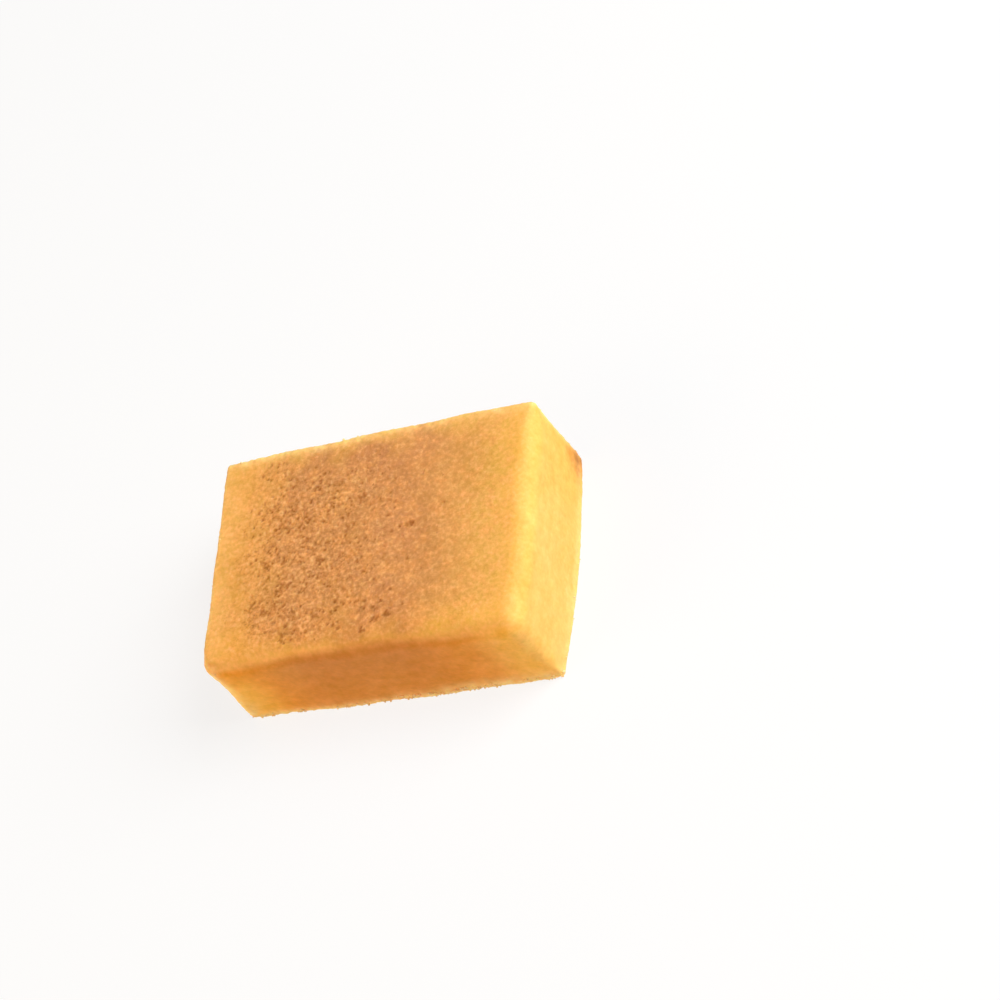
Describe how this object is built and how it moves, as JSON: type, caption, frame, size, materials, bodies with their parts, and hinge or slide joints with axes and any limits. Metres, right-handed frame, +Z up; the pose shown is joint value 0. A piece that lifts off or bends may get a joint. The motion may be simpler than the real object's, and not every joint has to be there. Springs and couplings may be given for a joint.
{
  "type": "mysore pak",
  "caption": "Thick oblong piece of gram flour and ghee fudge with a browned, finely pitted top, smooth knife-cut sides, softly slumped front edges and a flat base.",
  "frame": {"origin": "on the base, under the middle of the piece", "axes": "+Z up out of the browned top, +X along the length towards the softly slumped end, -Y out of the front cut"},
  "size_m": [0.0574, 0.04, 0.0182],
  "materials": {
    "fudge": "set fudge of roasted gram flour and ghee: golden yellow and smooth with a soft ghee sheen on the cut sides, browned, grainy and finely pitted on the top"
  },
  "bodies": {
    "root": {"mysore_pak": "fudge"}
  },
  "joints": []
}
